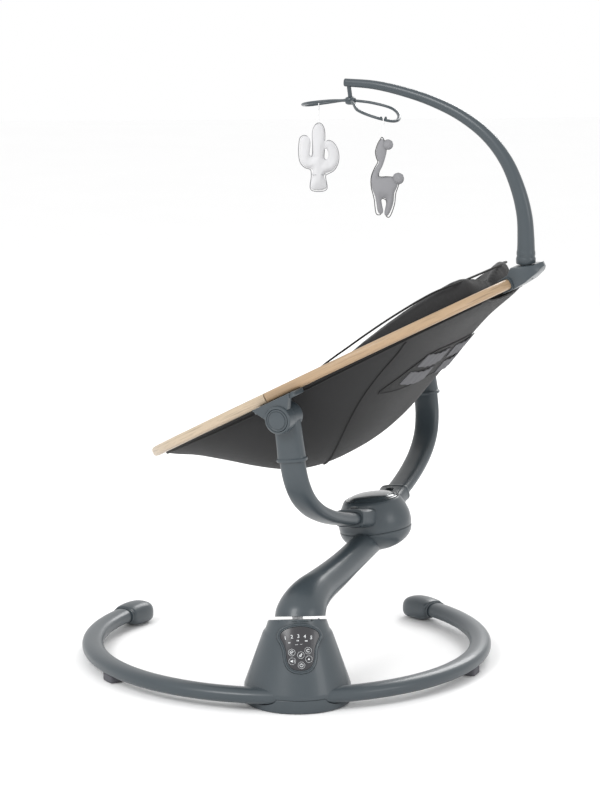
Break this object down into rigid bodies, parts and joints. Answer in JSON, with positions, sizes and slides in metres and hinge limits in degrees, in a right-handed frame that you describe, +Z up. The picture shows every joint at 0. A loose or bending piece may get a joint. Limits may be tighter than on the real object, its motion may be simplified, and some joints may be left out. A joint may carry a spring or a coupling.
{
  "type": "baby swing",
  "caption": "Infant swing: oval reclining sling seat on a U yoke and turntable, swing arm on a leaning drive axis, C-shaped floor ring, and a curved toy bar with two hanging soft toys.",
  "frame": {"origin": "floor under the middle of the motor housing", "axes": "+Z up; the control panel faces -Y; the floor ring opens towards +Y"},
  "size_m": [0.6978, 0.6243, 0.889],
  "materials": {
    "slate_plastic": "satin, slate grey",
    "dark_plastic": "matte, dark slate",
    "button_plastic": "matte, mid grey",
    "panel_gloss": "high gloss black",
    "board": "green lacquer",
    "steel": "plain",
    "gear_plastic": "natural nylon",
    "rubber": "matte black",
    "rim_wood": "pale, clear matt lacquer",
    "sling_fabric": "charcoal woven polyester",
    "pad_fabric": "grey melange jersey",
    "webbing": "woven webbing",
    "light_felt": "light grey melange",
    "dark_felt": "dark grey felt",
    "string": "white cord"
  },
  "bodies": {
    "base": {"motor_housing": "slate_plastic", "under_tray": "dark_plastic", "tray_screw_1": "steel", "tray_screw_2": "steel", "tray_screw_3": "steel", "tray_screw_4": "steel", "ring_tube_left": "slate_plastic", "ring_tube_right": "slate_plastic", "ring_end_cap_left": "slate_plastic", "ring_end_cap_right": "slate_plastic", "foot_pad_left": "rubber", "foot_pad_right": "rubber", "panel_bezel": "slate_plastic", "control_panel": "panel_gloss", "circuit_board": "board", "power_inlet": "rubber", "speaker": "dark_plastic", "spindle_bearing": "steel", "drive_motor": "steel"},
    "pinion": {"motor_pinion": "steel"},
    "arm": {"swing_arm": "slate_plastic", "hub_lower_bowl": "slate_plastic", "turntable_post": "steel", "drive_spindle": "steel", "drive_gear": "gear_plastic"},
    "carrier": {"hub_upper_shell": "slate_plastic", "yoke_tube_near": "slate_plastic", "yoke_tube_far": "slate_plastic", "pivot_head_near": "slate_plastic", "pivot_head_far": "slate_plastic", "button_spring": "steel"},
    "hub_button": {"hub_button": "slate_plastic"},
    "tube_button_near": {"tube_button_near": "dark_plastic"},
    "tube_button_far": {"tube_button_far": "dark_plastic"},
    "seat": {"rim_head": "rim_wood", "rim_foot": "rim_wood", "rim_bracket_near": "slate_plastic", "rim_bracket_far": "slate_plastic", "pivot_pin_near": "steel", "pivot_pin_far": "steel", "head_bracket": "slate_plastic", "sling": "sling_fabric", "leg_pad": "pad_fabric", "back_insert": "pad_fabric", "head_cushion": "pad_fabric", "shoulder_strap_near": "webbing", "shoulder_strap_far": "webbing", "waist_strap_near": "webbing", "waist_strap_far": "webbing", "crotch_strap": "webbing", "buckle": "dark_plastic"},
    "recline_button_near": {"recline_button_near": "slate_plastic"},
    "recline_button_far": {"recline_button_far": "slate_plastic"},
    "buckle_button": {"buckle_button": "button_plastic"},
    "toy_bar": {"toy_bar": "slate_plastic"},
    "spinner": {"toy_spinner": "slate_plastic"},
    "cactus_string": {"cactus_string": "string"},
    "cactus": {"cactus_toy": "light_felt"},
    "llama_string": {"llama_string": "string"},
    "llama": {"llama_toy": "dark_felt"}
  },
  "joints": [
    {"name": "arm_swing", "type": "hinge", "parent": "base", "child": "arm", "pos_m": [0, 0, 0.121], "axis": [0, 0.2538, 0.9673], "range_deg": [-3, 65]},
    {"name": "pinion_spin", "type": "hinge", "parent": "base", "child": "pinion", "pos_m": [0.0313, 0, 0.121], "axis": [0, 0.2538, 0.9673], "range_deg": [-224, 12]},
    {"name": "seat_turn", "type": "hinge", "parent": "arm", "child": "carrier", "pos_m": [0.13887, 0.25762, 0.19581], "axis": [-0.1311, 0.0353, 0.9907], "continuous": true},
    {"name": "hub_button_press", "type": "slide", "parent": "carrier", "child": "hub_button", "axis": [0.1311, -0.0353, -0.9907], "range_m": [0, 0.003], "stiffness_N_per_m": 500},
    {"name": "tube_button_near_press", "type": "slide", "parent": "carrier", "child": "tube_button_near", "axis": [0.1311, -0.0353, -0.9907], "range_m": [0, 0.0018], "stiffness_N_per_m": 500},
    {"name": "tube_button_far_press", "type": "slide", "parent": "carrier", "child": "tube_button_far", "axis": [0.1311, -0.0353, -0.9907], "range_m": [0, 0.0018], "stiffness_N_per_m": 500},
    {"name": "seat_recline", "type": "hinge", "parent": "carrier", "child": "seat", "pos_m": [0.10898, 0.26567, 0.4217], "axis": [0.4996, 0.8655, 0.0353], "range_deg": [-12, 12]},
    {"name": "recline_button_near_press", "type": "slide", "parent": "seat", "child": "recline_button_near", "axis": [0.4996, 0.8655, 0.0353], "range_m": [0, 0.003], "stiffness_N_per_m": 500},
    {"name": "recline_button_far_press", "type": "slide", "parent": "seat", "child": "recline_button_far", "axis": [-0.4996, -0.8655, -0.0353], "range_m": [0, 0.003], "stiffness_N_per_m": 500},
    {"name": "buckle_button_press", "type": "slide", "parent": "seat", "child": "buckle_button", "axis": [0.4134, -0.2024, -0.8878], "range_m": [0, 0.0025], "stiffness_N_per_m": 500},
    {"name": "toy_bar_turn", "type": "hinge", "parent": "seat", "child": "toy_bar", "pos_m": [0.34666, 0.12017, 0.62524], "axis": [-0.1311, 0.0353, 0.9907], "range_deg": [-90, 90]},
    {"name": "spinner_turn", "type": "hinge", "parent": "toy_bar", "child": "spinner", "pos_m": [0.09747, 0.25453, 0.85799], "axis": [0, 0, 1], "continuous": true},
    {"name": "cactus_string_swing", "type": "hinge", "parent": "spinner", "child": "cactus_string", "pos_m": [0.05636, 0.34206, 0.84338], "axis": [0.9897, -0.1429, 0], "range_deg": [-25, 25]},
    {"name": "cactus_swing", "type": "hinge", "parent": "cactus_string", "child": "cactus", "pos_m": [0.05636, 0.34206, 0.81438], "axis": [0.1429, 0.9897, 0], "range_deg": [-25, 25]},
    {"name": "llama_string_swing", "type": "hinge", "parent": "spinner", "child": "llama_string", "pos_m": [0.13857, 0.167, 0.83527], "axis": [0.9896, -0.1439, 0], "range_deg": [-25, 25]},
    {"name": "llama_swing", "type": "hinge", "parent": "llama_string", "child": "llama", "pos_m": [0.13857, 0.167, 0.80927], "axis": [0.1439, 0.9896, 0], "range_deg": [-25, 25]}
  ],
  "couplings": [
    {"joint": "pinion_spin", "follows": "arm_swing", "ratio": -3.4286}
  ]
}
